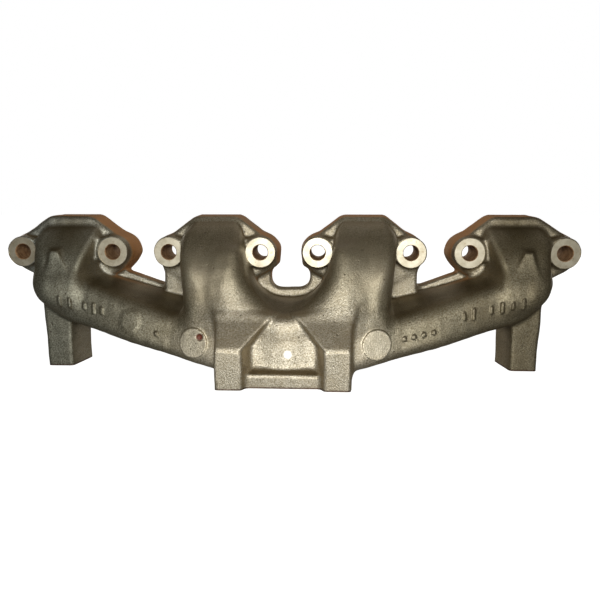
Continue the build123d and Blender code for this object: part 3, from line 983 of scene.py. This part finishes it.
def sort_faces(section):
    """Gives each face its finish, and each corner the casting's own normal or the cut's flat one."""
    mesh = section.data
    mesh.materials.clear()
    for finish in FINISHES:
        mesh.materials.append(finish)
    count = len(mesh.polygons)
    centres = np.empty(count * 3)
    mesh.polygons.foreach_get("center", centres)
    centres = centres.reshape(-1, 3) / MM
    normals = np.empty(count * 3)
    mesh.polygons.foreach_get("normal", normals)
    normals = normals.reshape(-1, 3)
    x, y, z = centres.T
    finish = np.full(count, SKIN)
    near = 0.02
    above_outlet = z > OUTLET_FACE + near
    bolt_distance = np.min([np.hypot(np.abs(x) - bolt, z) for bolt in BOLTS], 0)
    finish[(np.abs(y - BOSS_FRONT) < near) & (bolt_distance < SPOT_R + near)] = SPOT
    finish[(bolt_distance < BOLT_R + BEVEL) & (y > BOSS_FRONT + near) & (y < -near)] = BORE
    finish[np.abs(y) < near] = FACED
    finish[np.abs(z - OUTLET_FACE) < near] = FACED
    stud_distance = np.hypot(np.abs(x) - STUD_X, np.abs(y - OUTLET_Y) - STUD_Y)
    in_tap = (stud_distance < STUD_R + 2 * BEVEL + near) & (z < OUTLET_FACE + TAP_DEPTH + 1.0)
    finish[in_tap & above_outlet] = BORE
    outlet_distance = np.hypot(x, y - OUTLET_Y)
    finish[(np.abs(outlet_distance - OUTLET_R) < BEVEL + 0.1) & (z < BORE_TOP) & above_outlet] = BORE
    flat = finish != SKIN
    mesh.polygons.foreach_set("material_index", finish.astype(np.int32))
    mesh.polygons.foreach_set("use_smooth", np.ones(count, bool))
    corners = np.empty(len(mesh.loops), np.int64)
    mesh.loops.foreach_get("vertex_index", corners)
    points = np.empty(len(mesh.vertices) * 3)
    mesh.vertices.foreach_get("co", points)
    slope = slopes(points.reshape(-1, 3) / MM)
    slope /= np.maximum(np.linalg.norm(slope, axis=1, keepdims=True), 1e-6)
    owner = np.repeat(np.arange(count), loop_totals(mesh))
    corner_normals = slope[corners]
    agrees = (corner_normals * normals[owner]).sum(1) > AGREEMENT
    corner_normals = np.where((flat[owner] | ~agrees)[:, None], normals[owner], corner_normals)
    mesh.normals_split_custom_set(corner_normals.tolist())


def loop_totals(mesh):
    """How many corners each face has."""
    totals = np.empty(len(mesh.polygons), np.int64)
    mesh.polygons.foreach_get("loop_total", totals)
    return totals


# --------------------------------------------------------------------------------------------------
# Build the sections
# --------------------------------------------------------------------------------------------------
def reaches(low_a, high_a, low_b, high_b):
    """Whether two boxes overlap."""
    return all(low_a[a] < high_b[a] and high_a[a] > low_b[a] for a in range(3))


def solid_box(solid):
    """The lowest and highest corners of a solid."""
    points = np.array(solid[0])
    return points.min(0), points.max(0)


SPACE_LOW = np.array([-232.0, -112.0, -92.0])  # the space that holds the whole casting
SPACE_HIGH = np.array([232.0, 2.0, 32.0])


def united(solids):
    """One solid made from several that overlap."""
    space = mesh_object("space", *solids[0])
    for other in solids[1:]:
        boolean(space, *other, "UNION")
    points = [tuple(c / MM for c in v.co) for v in space.data.vertices]
    faces = [tuple(p.vertices) for p in space.data.polygons]
    bpy.data.objects.remove(space)
    return points, faces


def build_sections():
    """Makes every piece of the casting."""
    cutters = machining_cutters()
    claimed = []
    for node, spaces in sections():
        parts = []
        for space in spaces:
            low, high = solid_box(space)
            low, high = np.maximum(low, SPACE_LOW), np.minimum(high, SPACE_HIGH)
            parts.append((space, low, high))
        low = np.min([p[1] for p in parts], 0)
        high = np.max([p[2] for p in parts], 0)
        piece = raw_section(node + "_skin", low, high)
        for points, faces, cutter_low, cutter_high in cutters:
            if reaches(low - MARGIN, high + MARGIN, cutter_low, cutter_high):
                boolean(piece, points, faces, "DIFFERENCE")
        boolean(piece, *(spaces[0] if len(spaces) == 1 else united(spaces)), "INTERSECT")
        for other, other_low, other_high in claimed:
            if reaches(low, high, other_low, other_high):
                boolean(piece, *other, "DIFFERENCE")
        claimed += parts
        drop_slivers(piece)
        sort_faces(piece)
        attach(piece, "root")
        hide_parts(node)
        print(piece.name, len(piece.data.polygons), "faces")


build_sections()

# --------------------------------------------------------------------------------------------------
# Stage: pale floor, soft light from the camera's side, and the camera
# --------------------------------------------------------------------------------------------------
CAMERA_AT = Vector((0.0323, -0.5295, 0.0422))
LOOK = Vector((-0.0475, 0.9865, -0.157))
LENS = 39.1
SENSOR = 36.0
FLOOR_HALF = 4.0
AIM = (0.0, 0.0, -0.03)
WHITE = colour(1.0, 1.0, 1.0)
AMBIENT, AMBIENT_STRENGTH = colour(1.0, 0.86, 0.62), 0.07
BACKLIGHT = (1.0, 0.98, 0.95)


def pale_floor():
    """The floor that the outlet flange and the feet stand on; the camera sees it white."""
    mesh = bpy.data.meshes.new("floor")
    corners = ((-1, -1), (1, -1), (1, 1), (-1, 1))
    points = [(FLOOR_HALF * across, FLOOR_HALF * along, CAD_BOX[0][2]) for across, along in corners]
    mesh.from_pydata(points, [], [(0, 1, 2, 3)])
    floor = bpy.data.objects.new("floor", mesh)
    bpy.context.collection.objects.link(floor)
    n = Nodes("pale_floor")
    tone = n.mix(n.noise(3.0), colour(0.30, 0.30, 0.29), colour(0.32, 0.32, 0.31))
    seen = n.add("LightPath").outputs["Is Camera Ray"]
    mesh.materials.append(n.finish(n.add("BsdfPrincipled", {
        "Base Color": tone, "Roughness": 1.0, "Emission Color": WHITE,
        "Emission Strength": n.times(seen, 0.995),
    })))


def studio_world():
    """A backdrop that is white to the camera and a faint warm light to the iron."""
    world = bpy.data.worlds.new("studio")
    world.use_nodes = True
    tree = world.node_tree
    tree.nodes.clear()
    path = tree.nodes.new("ShaderNodeLightPath")
    backdrop = tree.nodes.new("ShaderNodeBackground")
    backdrop.inputs["Color"].default_value = WHITE
    ambient = tree.nodes.new("ShaderNodeBackground")
    ambient.inputs["Color"].default_value = AMBIENT
    ambient.inputs["Strength"].default_value = AMBIENT_STRENGTH
    choose = tree.nodes.new("ShaderNodeMixShader")
    output = tree.nodes.new("ShaderNodeOutputWorld")
    tree.links.new(path.outputs["Is Camera Ray"], choose.inputs[0])
    tree.links.new(ambient.outputs[0], choose.inputs[1])
    tree.links.new(backdrop.outputs[0], choose.inputs[2])
    tree.links.new(choose.outputs[0], output.inputs["Surface"])
    bpy.context.scene.world = world


def area_light(name, place, target, size, power, tint):
    """A round lamp that faces its target."""
    lamp = bpy.data.lights.new(name, "AREA")
    lamp.shape = "DISK"
    lamp.size = size
    lamp.energy = power
    lamp.color = tint
    thing = bpy.data.objects.new(name, lamp)
    thing.location = place
    thing.rotation_euler = (Vector(target) - Vector(place)).to_track_quat("-Z", "Y").to_euler()
    bpy.context.collection.objects.link(thing)


def stage():
    """The floor, the backdrop, the lights and the camera."""
    pale_floor()
    studio_world()
    area_light("key", (0.03, -0.56, 0.12), (0.0, -0.06, -0.03), 0.14, 3.0, (1.0, 0.98, 0.93))
    area_light("back", (0.0, 0.8, 0.85), AIM, 0.8, 2.0, BACKLIGHT)
    for hand, name in ((-1, "back_left"), (1, "back_right")):
        area_light(name, (hand * 0.85, 0.9, 0.15), AIM, 0.6, 2.4, BACKLIGHT)
    camera = bpy.data.cameras.new("camera")
    camera.lens = LENS
    camera.sensor_width = SENSOR
    view = bpy.data.objects.new("camera", camera)
    view.location = CAMERA_AT
    view.rotation_euler = LOOK.to_track_quat("-Z", "Y").to_euler()
    bpy.context.collection.objects.link(view)
    bpy.context.scene.camera = view
    bpy.context.scene.view_settings.view_transform = "Standard"


stage()
